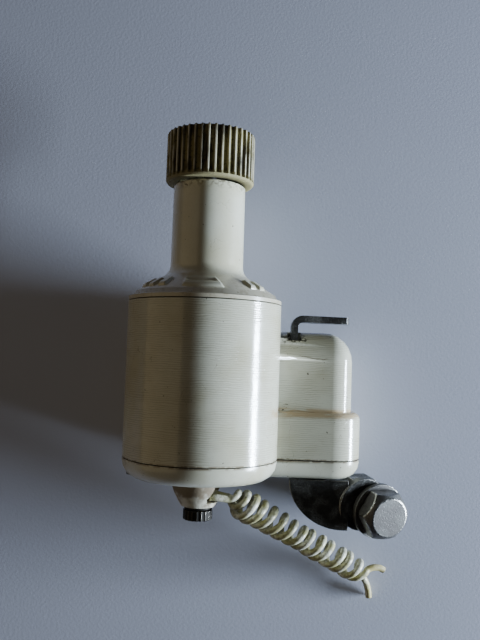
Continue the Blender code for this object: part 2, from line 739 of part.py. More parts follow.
def lug_outline():
    """The D-shaped front of the bracket: a quarter of an ellipse under a straight top edge."""
    points = []
    steps = 14
    for i in range(steps + 1):
        angle = math.radians(90 * i / steps)
        x = LUG_CENTRE_X - LUG_HALF_WIDTH * math.cos(angle)
        y = LUG_TOP_Y - LUG_DEPTH * math.sin(angle)
        points.append((x, y))
    right = LUG_CENTRE_X + 1.6 * MM
    return points + [(right, LUG_TOP_Y - LUG_DEPTH), (right, LUG_TOP_Y)]


def end_outline():
    """The bracket's end behind the washer: a large round hump and a smaller round end at the bolt."""
    hump = arc((-4.2 * MM, 1.45 * MM), 7.7 * MM, 62, 258, 18)
    tip = arc((0.0, 0.0), 7.4 * MM, -70, 62, 12)
    return hump + tip


def make_spindle(pivot):
    spindle = turned(
        "pivot_spindle",
        [
            (0.0, 36.2 * MM),
            (SPINDLE_R - 0.5 * MM, 36.2 * MM),
            (SPINDLE_R, 35.7 * MM),
            (SPINDLE_R, -4.0 * MM),
            (4.6 * MM, -4.0 * MM),
            (3.6 * MM, -5.6 * MM),
            (0.0, -6.0 * MM),
        ],
        PIVOT_X,
        PIVOT_Z,
        28,
    )
    finish(spindle, "zinc", pivot)
    washer = ring("pivot_washer", SPINDLE_R + GAP, 4.3 * MM, -1.0 * MM, -GAP, PIVOT_X, PIVOT_Z, 24)
    finish(washer, "zinc", pivot)
    notch = PIVOT_X - 4.0 * MM
    rim = arc((PIVOT_X, PIVOT_DROP), 6.0 * MM, -150, 150, 26)
    rim += [(notch, PIVOT_DROP + 2.2 * MM), (notch, PIVOT_DROP - 2.2 * MM)]
    hole = arc((PIVOT_X, PIVOT_DROP), SPINDLE_R + GAP, 0, 345, 23)
    finish(plate("latch_disc", [rim, hole], 30.6 * MM, 32.4 * MM), "zinc", pivot)
    clip = ring("spindle_clip", SPINDLE_R + GAP, 4.8 * MM, 33.2 * MM, 34.0 * MM, PIVOT_X, PIVOT_Z, 24)
    finish(clip, "spring", pivot)


def make_pivot_spring(root):
    """A close-wound torsion spring around the spindle."""
    turns = 6
    per_turn = 11
    low = 4.4 * MM
    high = 28.6 * MM
    points = []
    for i in range(turns * per_turn + 1):
        angle = 2 * math.pi * i / per_turn
        y = low + (high - low) * i / (turns * per_turn)
        points.append((PIVOT_X + 5.6 * MM * math.cos(angle), y, PIVOT_Z + 5.6 * MM * math.sin(angle)))
    finish(tube("pivot_spring", points, 0.8 * MM), "spring", root)


def tube(name, points, radius):
    """A round tube along a list of points, with closed ends."""
    curve = bpy.data.curves.new(name, "CURVE")
    curve.dimensions = "3D"
    curve.bevel_depth = radius
    curve.bevel_resolution = 2
    curve.use_fill_caps = True
    spline = curve.splines.new("POLY")
    spline.points.add(len(points) - 1)
    for point, place in zip(spline.points, points):
        point.co = (*place, 1.0)
    obj = bpy.data.objects.new(name, curve)
    bpy.context.scene.collection.objects.link(obj)
    return obj


def make_clamp(axis):
    bolt = outline_mesh("clamp_bolt", [hexagon(BOLT_FLATS / math.sqrt(3))], BOLT_HEAD)
    on_bolt(bolt, BOLT_HEAD, 0.0)
    crown = bolt_cone("bolt_crown", 5.6 * MM, 9.4 * MM, 0.0, 4.2 * MM, 32)
    shank = bolt_cone("bolt_shank", BOLT_R, BOLT_R, BOLT_HEAD - 0.5 * MM, BOLT_LENGTH, 28)
    envelope = bolt_cone("bolt_envelope", 9.4 * MM, 9.4 * MM, 3.8 * MM, BOLT_LENGTH + MM, 32)
    boolean(crown, as_cutter(envelope, axis), "UNION")
    boolean(bolt, as_cutter(crown, axis), "INTERSECT")
    boolean(bolt, as_cutter(shank, axis), "UNION")
    finish(bolt, "zinc", axis)


def bolt_cone(name, near_r, far_r, near, far, sides):
    """A round shape on the bolt's axis, between two distances behind its face."""
    bm = bmesh.new()
    length = far - near
    bmesh.ops.create_cone(bm, cap_ends=True, segments=sides, radius1=far_r, radius2=near_r, depth=length)
    return on_bolt(mesh_object(name, bm), far, near)


def bolt_ring(name, inner, outer, near, far, sides):
    outlines = [arc((0.0, 0.0), outer, 0, 360 - 360 / sides, sides - 1), arc((0.0, 0.0), inner, 0, 342, 19)]
    return on_bolt(outline_mesh(name, outlines, far - near), far, near)


def make_clamp_hardware(pivot, nut_axis):
    washer = bolt_ring("clamp_washer", BOLT_R + GAP, WASHER_R, WASHER_FROM, WASHER_TO, 36)
    finish(washer, "zinc", pivot)
    bore = BOLT_R + GAP
    spring_washer = bolt_ring("spring_washer", bore, 6.4 * MM, SPRING_WASHER_FROM, SPRING_WASHER_TO, 28)
    finish(spring_washer, "dark_steel", nut_axis)
    outlines = [hexagon(BOLT_FLATS / math.sqrt(3)), arc((0.0, 0.0), BOLT_R + GAP, 0, 342, 19)]
    nut = on_bolt(outline_mesh("clamp_nut", outlines, NUT_TO - NUT_FROM), NUT_TO, NUT_FROM)
    finish(nut, "dark_steel", nut_axis)


def smooth_points(route, spacing):
    """Points along a smooth curve through the route's own points, about this far apart."""
    points = []
    ends = [route[0] * 2 - route[1]] + route + [route[-1] * 2 - route[-2]]
    for a, b, c, d in zip(ends, ends[1:], ends[2:], ends[3:]):
        steps = max(2, round((c - b).length / spacing))
        for i in range(steps):
            t = i / steps
            cubic = 3 * b - a - 3 * c + d
            points.append(0.5 * (2 * b + (c - a) * t + (2 * a - 5 * b + 4 * c - d) * t**2 + cubic * t**3))
    return points + [route[-1]]


def make_lead(root):
    """A twin lead: two cores out of the collar, one fat tube for the coiled stretch, two free ends."""
    inner_a = [(3.4, -5.3, 24.4), (5.4, -5.4, 24.4), (7.4, -5.7, 24.0), (9.0, -6.0, 23.6)]
    inner_b = [(3.4, -5.0, 20.4), (5.4, -5.2, 20.5), (7.4, -5.6, 20.8), (9.0, -5.8, 21.0)]
    tail_a = [(51.9, -29.6, 5.0), (53.4, -29.0, 4.6), (55.6, -29.1, 4.0), (57.2, -29.9, 3.6)]
    tail_b = [(51.0, -32.6, 3.2), (52.0, -34.2, 2.4), (52.8, -36.6, 1.6), (53.2, -39.0, 1.1)]
    for name, route in (("core_a", inner_a), ("core_b", inner_b), ("tail_a", tail_a), ("tail_b", tail_b)):
        points = smooth_points([Vector(p) * MM for p in route], 4 * CORE_R)
        finish(tube("lead_" + name, points, CORE_R), "lead", root)
    along = [COIL_START.lerp(COIL_END, i / 6) for i in range(7)]
    finish(tube("lead_coil", along, COIL_R), "lead", root)


def origin_at_bottom_centre(root):
    """Moves the whole object so that the origin is under the middle of it, the lead left out."""
    bpy.context.view_layer.update()
    graph = bpy.context.evaluated_depsgraph_get()
    corners = []
    for obj in bpy.data.collections[PARTS].objects:
        if obj.type == "EMPTY" or obj.name.startswith("lead_"):
            continue
        evaluated = obj.evaluated_get(graph)
        mesh = evaluated.to_mesh()
        corners += [evaluated.matrix_world @ vertex.co for vertex in mesh.vertices]
        evaluated.to_mesh_clear()
    low = [min(corner[i] for corner in corners) for i in range(3)]
    high = [max(corner[i] for corner in corners) for i in range(3)]
    root.location = (-(low[0] + high[0]) / 2, -(low[1] + high[1]) / 2, -low[2])


def main():
    clear_scene()
    new_collection(PARTS, False)
    new_collection(CUTTERS, True)
    make_materials()
    root = bpy.data.objects.new("dynamo", None)
    bpy.data.collections[PARTS].objects.link(root)
    rotor_axis = joint_empty("rotor_axis", (0.0, 0.0, AXIS_Z), root)
    bracket_pivot = joint_empty("bracket_pivot", (PIVOT_X, 0.0, PIVOT_Z), root)
    lever_pivot = joint_empty("lever_pivot", (LEVER_X, LEVER_PIN_Y, LEVER_LOW_Z), root)
    terminal_axis = joint_empty("terminal_axis", (0.0, COLLAR_LOW, AXIS_Z), root)
    bolt_axis = joint_empty("bolt_axis", BOLT_FACE, bracket_pivot)
    nut_axis = joint_empty("nut_axis", BOLT_FACE - BOLT_WAY * NUT_FROM, bracket_pivot)
    make_base_cover(root)
    make_cover_screws(root)
    make_barrel_housing(root)
    make_neck_housing(root)
    make_bearings(root)
    make_stator(root)
    make_coil(root)
    make_contact(root)
    make_rotor(rotor_axis)
    make_terminal(root)
    make_terminal_nut(terminal_axis)
    make_lever(lever_pivot, root)
    make_bracket(bracket_pivot)
    make_spindle(bracket_pivot)
    make_pivot_spring(root)
    make_clamp(bolt_axis)
    make_clamp_hardware(bracket_pivot, nut_axis)
    make_lead(root)
    origin_at_bottom_centre(root)


main()
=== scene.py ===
"""The looks of a bicycle bottle dynamo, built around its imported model.

Places and sizes are in millimetres: X from the rotor's axis, Y from the underside of the base
cover, and Z from the table.
"""

import json
import math

import bmesh
import bpy
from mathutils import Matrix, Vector


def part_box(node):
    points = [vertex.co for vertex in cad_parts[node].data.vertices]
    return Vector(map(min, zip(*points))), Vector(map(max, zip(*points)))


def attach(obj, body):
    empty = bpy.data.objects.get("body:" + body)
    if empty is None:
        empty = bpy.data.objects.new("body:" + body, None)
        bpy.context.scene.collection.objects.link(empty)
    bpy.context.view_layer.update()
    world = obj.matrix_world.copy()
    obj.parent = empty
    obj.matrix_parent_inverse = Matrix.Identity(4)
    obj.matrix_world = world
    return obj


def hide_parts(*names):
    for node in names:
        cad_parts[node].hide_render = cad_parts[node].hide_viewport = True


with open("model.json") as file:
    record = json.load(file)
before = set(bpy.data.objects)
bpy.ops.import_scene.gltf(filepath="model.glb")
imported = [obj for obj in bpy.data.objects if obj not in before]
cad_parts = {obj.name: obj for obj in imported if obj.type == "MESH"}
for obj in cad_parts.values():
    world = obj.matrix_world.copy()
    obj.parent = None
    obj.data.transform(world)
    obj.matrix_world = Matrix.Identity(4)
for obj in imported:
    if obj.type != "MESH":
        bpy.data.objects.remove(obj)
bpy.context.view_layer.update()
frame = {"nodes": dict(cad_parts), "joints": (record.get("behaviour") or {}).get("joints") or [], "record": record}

MM = 0.001
JOINTS = {joint["name"]: joint for joint in frame["joints"]}
ORIGIN = Vector((JOINTS["rotor_spin"]["pos_m"][0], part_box("base_cover")[0].y, 0.0))
AXIS_Z = JOINTS["rotor_spin"]["pos_m"][2] / MM


def at(x, y, z):
    """A place given in millimetres, as a point of the frame in metres."""
    return ORIGIN + Vector((x, y, z)) * MM


def smooth(t):
    """A smooth step from 0 at t = 0 to 1 at t = 1."""
    t = min(max(t, 0.0), 1.0)
    return t * t * (3 - 2 * t)


def mix(a, b, t):
    """From a at t = 0 to b at t = 1."""
    return a + (b - a) * t


# Camera

CAMERA_PLACE = (11.1, 33.8, 218.5)
CAMERA_TURN = (3.28, 0.27, 1.97)
LENS = 38.26
NEAR_CLIP = 0.01


def make_camera():
    """The camera above the dynamo; CAMERA_TURN is in degrees about X, Y and Z."""
    camera = bpy.data.objects.new("camera", bpy.data.cameras.new("camera"))
    bpy.context.scene.collection.objects.link(camera)
    camera.data.lens = LENS
    camera.data.clip_start = NEAR_CLIP
    camera.location = at(*CAMERA_PLACE)
    camera.rotation_mode = "ZXY"
    camera.rotation_euler = [math.radians(angle) for angle in CAMERA_TURN]
    bpy.context.scene.camera = camera


# Materials


class Finish:
    """A procedural material, whose patterns are laid out in millimetres. Each call adds nodes."""

    def __init__(self, name, metallic=0.0, specular=0.5):
        self.material = bpy.data.materials.new(name)
        self.material.use_nodes = True
        self.tree = self.material.node_tree
        self.shader = self.tree.nodes["Principled BSDF"]
        self.shader.inputs["Metallic"].default_value = metallic
        self.shader.inputs["Specular IOR Level"].default_value = specular
        coordinates = self.tree.nodes.new("ShaderNodeTexCoord").outputs["Object"]
        shifted = self.vector("SUBTRACT", coordinates, tuple(ORIGIN))
        self.place = self.vector("MULTIPLY", shifted, (1 / MM,) * 3)
        apart = self.tree.nodes.new("ShaderNodeSeparateXYZ")
        self.tree.links.new(self.place, apart.inputs[0])
        self.x, self.y, self.z = apart.outputs

    def put(self, socket, value):
        """Link the value to the socket if it is another node's, or set it."""
        if isinstance(value, bpy.types.NodeSocket):
            self.tree.links.new(value, socket)
        else:
            socket.default_value = value

    def vector(self, operation, a, b):
        node = self.tree.nodes.new("ShaderNodeVectorMath")
        node.operation = operation
        self.put(node.inputs[0], a)
        self.put(node.inputs[1], b)
        return node.outputs[0]

    def math(self, operation, a, b=0.0):
        node = self.tree.nodes.new("ShaderNodeMath")
        node.operation = operation
        self.put(node.inputs[0], a)
        self.put(node.inputs[1], b)
        return node.outputs[0]

    def product(self, *values):
        result = values[0]
        for value in values[1:]:
            result = self.math("MULTIPLY", result, value)
        return result

    def noise(self, size, stretch=(1.0, 1.0, 1.0), detail=3.0):
        """Noise from 0 to 1 whose patches are about size wide, in millimetres, times stretch."""
        node = self.tree.nodes.new("ShaderNodeTexNoise")
        scales = tuple(1 / (size * s) for s in stretch)
        self.put(node.inputs["Vector"], self.vector("MULTIPLY", self.place, scales))
        node.inputs["Scale"].default_value = 1.0
        node.inputs["Detail"].default_value = detail
        return node.outputs[0]

    def step(self, value, low, high):
        """0 below low and 1 above high, smooth between; a low above high turns it round."""
        node = self.tree.nodes.new("ShaderNodeMapRange")
        node.interpolation_type = "SMOOTHSTEP"
        self.put(node.inputs["Value"], value)
        upward = low < high
        node.inputs["From Min"].default_value = low if upward else high
        node.inputs["From Max"].default_value = high if upward else low
        node.inputs["To Min"].default_value = 0.0 if upward else 1.0
        node.inputs["To Max"].default_value = 1.0 if upward else 0.0
        return node.outputs[0]

    def band(self, value, low, high, soft):
        """1 between low and high, falling to 0 over soft on either side."""
        return self.product(self.step(value, low - soft, low), self.step(value, high + soft, high))

    def hairlines(self, size, width, kept):
        """Thin wandering lines between cells of this size, kept only in patches."""
        bend_scale, bend_reach = 0.6, 2.5
        node = self.tree.nodes.new("ShaderNodeTexVoronoi")
        node.feature = "DISTANCE_TO_EDGE"
        node.inputs["Scale"].default_value = 1 / size
        bend = self.tree.nodes.new("ShaderNodeTexNoise")
        bend.inputs["Scale"].default_value = bend_scale
        self.put(bend.inputs["Vector"], self.place)
        shift = self.vector("MULTIPLY", bend.outputs["Color"], (bend_reach,) * 3)
        self.put(node.inputs["Vector"], self.vector("ADD", self.place, shift))
        line = self.step(node.outputs["Distance"], width / size, 0.0)
        return self.product(line, self.step(self.noise(size * 0.8, detail=1.0), kept, kept + 0.04))

    def blend(self, amount, a, b):
        """Colour a, going to colour b as amount goes from 0 to 1."""
        node = self.tree.nodes.new("ShaderNodeMix")
        node.data_type = "RGBA"
        self.put(node.inputs["Factor"], amount)
        for socket, value in ((node.inputs["A"], a), (node.inputs["B"], b)):
            self.put(socket, value if isinstance(value, bpy.types.NodeSocket) else (*value, 1.0))
        return node.outputs["Result"]

    def tint(self, mask, strength, a, b):
        """Colour a, going towards colour b by this strength where the mask is 1."""
        return self.blend(self.product(mask, strength), a, b)

    def colour(self, value):
        self.put(self.shader.inputs["Base Color"], value)

    def roughness(self, amount, low, high):
        """Roughness from low to high as amount goes from 0 to 1."""
        spread = self.math("MULTIPLY", amount, high - low)
        self.put(self.shader.inputs["Roughness"], self.math("ADD", spread, low))

    def relief(self, height, depth, strength=1.0):
        """Bumps of this depth in millimetres, on top of the bumps already there."""
        node = self.tree.nodes.new("ShaderNodeBump")
        node.inputs["Strength"].default_value = strength
        node.inputs["Distance"].default_value = depth * MM
        self.put(node.inputs["Height"], height)
        before = self.shader.inputs["Normal"]
        if before.is_linked:
            self.put(node.inputs["Normal"], before.links[0].from_socket)
        self.put(before, node.outputs[0])


CREAM = (0.60, 0.58, 0.46)
CREAM_OLD = (0.52, 0.48, 0.34)
CREAM_STAIN = (0.45, 0.27, 0.10)
CREAM_SPECKLE = (0.30, 0.27, 0.20)
GROOVE_DIRT_AND_SHADE = (0.30, 0.26, 0.17)
SCRATCH = (0.16, 0.12, 0.08)
CRACK = (0.12, 0.08, 0.05)
GRIME = (0.045, 0.032, 0.018)

# Marks that lie between two places along X or Y
SHELF_Y = (18.4, 19.6)
BLOT_X, BLOT_Y = (22.2, 24.8), (19.2, 21.4)
LEVER_SLOT_X = (23.4, 29.4)
CREST_X = (27.5, 37.0)
CRACK_X, CRACK_Y = (28.5, 35.0), (35.42, 35.50)

# Marks that fade in from the first place along X or Y, or the first radius, to the second
HOUSING_SIDE_X = (17.0, 22.0)
LEVER_SLOT_Y = (38.2, 39.6)
CREST_Y = (41.6, 42.1)
BARREL_SEAM_Y = (6.4, 5.9)
COVER_SEAM_Y = (4.9, 5.4)
CONE_Y = (58.0, 55.0)
UNDER_ROLLER_Y = (80.6, 83.0)
COLLAR_TOP_Y = (-5.8, -2.2)
ROLLER_LAND_RADIUS = (12.38, 12.66)
ROLLER_SIDE_Y = (85.2, 85.9)
LEAD_END_X = (50.5, 53.5)

BARREL_RIDGE_PITCH = 0.56


def cream_base(finish):
    """Aged plastic: yellower patches, grey speckle, a few specks of dirt and fine scratches."""
    patches = finish.step(finish.noise(14.0, detail=4.0), 0.36, 0.74)
    colour = finish.blend(patches, CREAM, CREAM_OLD)
    speckle = finish.step(finish.noise(0.45, detail=2.0), 0.56, 0.72)
    colour = finish.tint(speckle, 0.16, colour, CREAM_SPECKLE)
    specks = finish.step(finish.noise(1.1, detail=1.0), 0.765, 0.79)
    colour = finish.tint(specks, 0.8, colour, GRIME)
    scratches = finish.hairlines(9.0, 0.07, 0.60)
    return finish.tint(scratches, 0.55, colour, SCRATCH), scratches


def cream_smooth(name):
    """The smooth plastic of the base cover, the neck and the pads."""
    finish = Finish(name, specular=0.9)
    colour, scratches = cream_base(finish)
    finish.colour(colour)
    finish.roughness(finish.noise(6.0), 0.15, 0.26)
    finish.relief(finish.noise(1.8, detail=2.0), 0.02, 0.5)
    finish.relief(scratches, -0.03, 0.6)
    return finish


def cream_ridged():
    """The barrel: fine wavy ridges, darkened in their grooves by dirt and painted shade, and stains, dirt and a
    crack on its spring housing.
    """
    finish = Finish("aged_plastic_ridged", specular=1.0)
    colour, scratches = cream_base(finish)
    wobble = finish.product(finish.noise(6.0, (1.0, 0.30, 1.0), detail=2.0), 12.0)
    phase = finish.math("ADD", finish.product(finish.y, 2 * math.pi / BARREL_RIDGE_PITCH), wobble)
    ridges = finish.math("SINE", phase)
    fade = finish.step(finish.noise(8.0, (1.0, 0.5, 1.0)), 0.30, 0.55)
    # The grooves are darkened partly by dirt and partly by painted shade, a colour that stands in for the shading
    # of the ridges.
    in_grooves = finish.product(finish.step(ridges, -0.1, -0.9), fade)
    colour = finish.tint(in_grooves, 0.45, colour, GROOVE_DIRT_AND_SHADE)
    on_housing = finish.step(finish.x, *HOUSING_SIDE_X)
    shelf = finish.product(finish.band(finish.y, *SHELF_Y, 1.2), on_housing)
    stain = finish.product(shelf, finish.step(finish.noise(4.0, (1.0, 0.3, 1.0)), 0.30, 0.55), 0.60)
    colour = finish.blend(stain, colour, CREAM_STAIN)
    corner_y = finish.band(finish.y, *BLOT_Y, 0.6)
    corner = finish.product(corner_y, finish.band(finish.x, *BLOT_X, 0.8))
    blot = finish.product(corner, finish.step(finish.noise(1.1, (1.8, 0.5, 1.0)), 0.56, 0.62))
    colour = finish.blend(blot, colour, GRIME)
    slot_y = finish.step(finish.y, *LEVER_SLOT_Y)
    slot = finish.product(slot_y, finish.band(finish.x, *LEVER_SLOT_X, 1.2))
    crust = finish.product(slot, finish.step(finish.noise(0.9), 0.44, 0.60))
    colour = finish.tint(crust, 0.9, colour, GRIME)
    crest_y = finish.step(finish.y, *CREST_Y)
    crest = finish.product(crest_y, finish.band(finish.x, *CREST_X, 2.0))
    colour = finish.tint(crest, 0.85, colour, GRIME)
    bow = finish.product(finish.math("SINE", finish.product(finish.x, 0.42)), 0.5)
    crack_y = finish.math("ADD", finish.math("ADD", finish.y, bow), finish.noise(2.0))
    crack_line = finish.band(crack_y, *CRACK_Y, 0.12)
    crack = finish.product(crack_line, finish.band(finish.x, *CRACK_X, 1.5))
    colour = finish.tint(crack, 0.7, colour, CRACK)
    seam_y = finish.step(finish.y, *BARREL_SEAM_Y)
    seam = finish.product(seam_y, finish.step(finish.noise(2.0), 0.40, 0.56))
    colour = finish.tint(seam, 0.6, colour, (0.18, 0.11, 0.05))
    finish.colour(colour)
    finish.roughness(finish.noise(5.0), 0.10, 0.18)
    finish.relief(finish.product(ridges, fade), 0.011, 1.0)
    finish.relief(finish.noise(5.0, (1.0, 2.0, 1.0)), 0.05, 0.5)
    finish.relief(scratches, -0.03, 0.6)
    return finish.material


def cream_neck():
    """The neck and shoulder, with dirt on the shoulder's cone and under the roller."""
    finish = cream_smooth("aged_plastic_neck")
    old = finish.shader.inputs["Base Color"].links[0].from_socket
    cone = finish.step(finish.y, *CONE_Y)
    colour = finish.tint(cone, 0.55, old, (0.52, 0.44, 0.31))
    grime = finish.product(cone, finish.step(finish.noise(1.6, detail=4.0), 0.50, 0.70), 0.35)
    colour = finish.blend(grime, colour, (0.24, 0.17, 0.09))
    under_roller = finish.step(finish.y, *UNDER_ROLLER_Y)
    crust = finish.product(under_roller, finish.step(finish.noise(1.2), 0.46, 0.62))
    colour = finish.tint(crust, 0.7, colour, (0.13, 0.10, 0.06))
    finish.colour(colour)
    return finish.material


def cream_cover():
    """The base cover, with dirt in its seam."""
    finish = cream_smooth("aged_plastic_cover")
    old = finish.shader.inputs["Base Color"].links[0].from_socket
    seam_y = finish.step(finish.y, *COVER_SEAM_Y)
    seam = finish.product(seam_y, finish.step(finish.noise(2.2), 0.40, 0.56))
    finish.colour(finish.tint(seam, 0.7, old, (0.16, 0.10, 0.05)))
    return finish.material


def collar_plastic():
    """The terminal's collar: the same plastic, brown with dirt and with painted shade, more of both towards the
    cover.
    """
    finish = Finish("dirt_and_shade_plastic")
    # Painted shade: the brown patches grow towards the cover, where the cover's shade falls on the collar; the
    # patches elsewhere are dirt.
    upward = finish.step(finish.y, *COLLAR_TOP_Y)
    patches = finish.math("ADD", finish.noise(3.0, detail=4.0), finish.product(upward, 0.30))
    dirt = finish.step(patches, 0.44, 0.72)
    colour = finish.tint(dirt, 0.85, (0.60, 0.56, 0.45), (0.15, 0.10, 0.05))
    finish.colour(colour)
    finish.roughness(dirt, 0.42, 0.75)
    finish.relief(finish.noise(0.8), 0.06)
    return finish.material


def roller_metal():
    """The fluted roller: pale rubbed lands, and olive-brown tarnish and dirt in the grooves."""
    finish = Finish("tarnished_roller")
    across = finish.math("SUBTRACT", finish.z, AXIS_Z)
    squares = finish.math("ADD", finish.product(finish.x, finish.x), finish.product(across, across))
    radius = finish.math("SQRT", squares)
    tarnish = finish.step(finish.noise(2.6, (0.6, 3.0, 0.6), detail=4.0), 0.36, 0.62)
    groove = finish.blend(tarnish, (0.045, 0.034, 0.016), (0.25, 0.21, 0.080))
    crumbs = finish.step(finish.noise(0.8), 0.54, 0.66)
    groove = finish.tint(crumbs, 0.6, groove, (0.030, 0.020, 0.012))
    rubbed = finish.step(radius, *ROLLER_LAND_RADIUS)
    skirt = finish.step(finish.y, *reversed(ROLLER_SIDE_Y))
    groove = finish.tint(skirt, 0.8, groove, (0.30, 0.26, 0.13))
    above = finish.product(rubbed, finish.step(finish.y, *ROLLER_SIDE_Y))
    wear = finish.product(above, finish.step(finish.noise(1.4, (1.0, 4.0, 1.0)), 0.28, 0.60))
    finish.colour(finish.blend(wear, groove, (0.62, 0.57, 0.42)))
    finish.roughness(wear, 0.72, 0.45)
    finish.relief(finish.noise(0.6, detail=4.0), 0.07)
    return finish.material


def worn_steel(name, dark, light, wear_size, low_rough, high_rough, grain):
    """Dark steel with rubbed, lighter patches, fine pits and a brushed drift."""
    finish = Finish(name, metallic=0.6)
    rubbed = finish.step(finish.noise(wear_size, detail=5.0), 0.44, 0.64)
    pits = finish.step(finish.noise(0.5, detail=4.0), 0.52, 0.66)
    brushed = finish.noise(0.3, (12.0, 1.0, 1.0), detail=2.0)
    colour = finish.blend(rubbed, dark, light)
    colour = finish.tint(pits, 0.65, colour, tuple(0.35 * c for c in dark))
    finish.colour(finish.tint(brushed, 0.25, colour, light))
    dullness = finish.math("ADD", finish.product(pits, 0.6), finish.product(rubbed, -0.4))
    finish.roughness(dullness, low_rough, high_rough)
    finish.relief(finish.noise(0.4, detail=4.0), grain)
    finish.relief(pits, -grain)
    return finish.material


def bright_edge(name, colour):
    """Metal rubbed bright on a worn edge."""
    finish = Finish(name, metallic=1.0)
    scuffs = finish.step(finish.noise(0.7, detail=4.0), 0.44, 0.62)
    finish.colour(finish.tint(scuffs, 0.7, colour, tuple(0.4 * c for c in colour)))
    finish.roughness(scuffs, 0.26, 0.5)
    finish.relief(scuffs, -0.02)
    return finish.material


def plain_metal(name, colour, roughness):
    """Metal that is hardly seen: small tonal drift and fine pitting."""
    finish = Finish(name, metallic=0.95)
    drift = finish.noise(2.0, detail=4.0)
    finish.colour(finish.blend(drift, tuple(0.6 * c for c in colour), colour))
    finish.roughness(drift, roughness - 0.1, roughness + 0.15)
    finish.relief(finish.noise(0.4), 0.03)
    return finish.material


def plain_moulding(name, colour, roughness):
    """A non-metal with a mottled, slightly grained face."""
    finish = Finish(name)
    drift = finish.noise(1.5, detail=4.0)
    finish.colour(finish.blend(drift, tuple(0.65 * c for c in colour), colour))
    finish.roughness(drift, roughness - 0.08, roughness + 0.12)
    finish.relief(finish.noise(0.3), 0.03)
    return finish.material


def copper_windings():
    """Enamelled wire laid in close turns round the rotor's axis, with painted shade between the turns and a
    painted highlight on each crown.
    """
    wire_pitch = 0.4
    finish = Finish("enamelled_copper", metallic=0.9)
    turns = finish.math("SINE", finish.product(finish.y, 2 * math.pi / wire_pitch))
    # Painted light: the colour runs from painted shade between the turns to a painted highlight on their crowns.
    crown_highlight_and_turn_shade = finish.step(turns, -0.6, 0.4)
    finish.colour(finish.blend(crown_highlight_and_turn_shade, (0.16, 0.05, 0.02), (0.62, 0.25, 0.10)))
    finish.roughness(finish.noise(2.0), 0.28, 0.42)
    finish.relief(turns, 0.08)
    return finish.material


def lead_plastic():
    """Soft off-white insulation: yellow-green patches, grime, and ochre at its free ends."""
    finish = Finish("lead_pvc")
    age = finish.step(finish.noise(3.5, detail=3.0), 0.36, 0.60)
    colour = finish.blend(age, (0.64, 0.62, 0.50), (0.42, 0.39, 0.20))
    grime = finish.step(finish.noise(1.1, detail=4.0), 0.46, 0.64)
    colour = finish.tint(grime, 0.55, colour, (0.13, 0.11, 0.04))
    far = finish.step(finish.x, *LEAD_END_X)
    colour = finish.tint(far, 0.6, colour, (0.50, 0.40, 0.14))
    finish.colour(colour)
    finish.roughness(grime, 0.30, 0.60)
    finish.relief(finish.noise(0.7), 0.04)
    return finish.material


def paper():
    """The floor: pale, faintly blue paper with fine fibres."""
    finish = Finish("pale_paper")
    fibres = finish.noise(0.9, detail=5.0)
    drift = finish.noise(90.0, detail=2.0)
    colour = finish.blend(drift, (0.50, 0.51, 0.62), (0.58, 0.59, 0.69))
    finish.colour(finish.tint(fibres, 0.10, colour, (0.42, 0.43, 0.50)))
    finish.roughness(fibres, 0.82, 0.95)
    finish.relief(fibres, 0.03)
    return finish.material


def make_materials():
    """Every finish, under the record's slot that it belongs to or the piece that it is for."""
    return {
        "barrel": cream_ridged(),
        "neck": cream_neck(),
        "cover": cream_cover(),
        "pads": cream_smooth("aged_plastic_pads").material,
        "collar": collar_plastic(),
        "roller": roller_metal(),
        "dark_steel": worn_steel(
            "worn_dark_steel", (0.030, 0.027, 0.024), (0.19, 0.19, 0.18), 5.0, 0.34, 0.62, 0.04
        ),
        "zinc": worn_steel(
            "dull_zinc", (0.11, 0.10, 0.095), (0.20, 0.195, 0.185), 4.0, 0.42, 0.62, 0.015
        ),
        "dark_edge": bright_edge("rubbed_steel_edge", (0.36, 0.34, 0.32)),
        "zinc_edge": bright_edge("rubbed_zinc_edge", (0.34, 0.33, 0.31)),
        "black_edge": bright_edge("rubbed_black_edge", (0.10, 0.09, 0.08)),
        "spring_steel": plain_metal("oiled_spring_steel", (0.40, 0.38, 0.36), 0.35),
        "black_nut": plain_metal("blackened_metal", (0.030, 0.027, 0.024), 0.60),
        "brass": plain_metal("terminal_brass", (0.66, 0.48, 0.20), 0.35),
        "bronze": plain_metal("sintered_bronze", (0.48, 0.32, 0.17), 0.50),
        "ferrite": plain_moulding("magnet_ferrite", (0.09, 0.09, 0.10), 0.55),
        "bobbin": plain_moulding("black_moulding", (0.05, 0.05, 0.05), 0.50),
        "copper": copper_windings(),
        "felt": plain_moulding("oiled_felt", (0.30, 0.26, 0.20), 0.95),
        "lead_pvc": lead_plastic(),
        "paper": paper(),
    }


def slots_of_nodes():
    """The record's material slot of each CAD node."""
    return {part["node"]: part["material_slot"] for part in frame["record"]["subparts"]}


def body_of(node):
    """The body that a CAD node belongs to, by the record."""
    for body, nodes in frame["record"]["behaviour"]["bodies"].items():
        if node in nodes:
            return body
    raise ValueError(node)


# Meshes

WELD_DISTANCE = 0.002
FLAT_ANGLE = 0.6
EDGE_ANGLE = 40


def new_object(name, data, material):
    """A new object in the scene, with one material."""
    obj = bpy.data.objects.new(name, data)
    bpy.context.scene.collection.objects.link(obj)
    obj.data.materials.append(material)
    return obj


def mesh_of(work, name, angle=35.0):
    """The mesh held in a bmesh, shaded smooth where faces meet at less than this angle."""
    bmesh.ops.recalc_face_normals(work, faces=work.faces[:])
    mesh = bpy.data.meshes.new(name)
    work.to_mesh(mesh)
    work.free()
    mesh.shade_smooth()
    mesh.set_sharp_from_angle(angle=math.radians(angle))
    return mesh


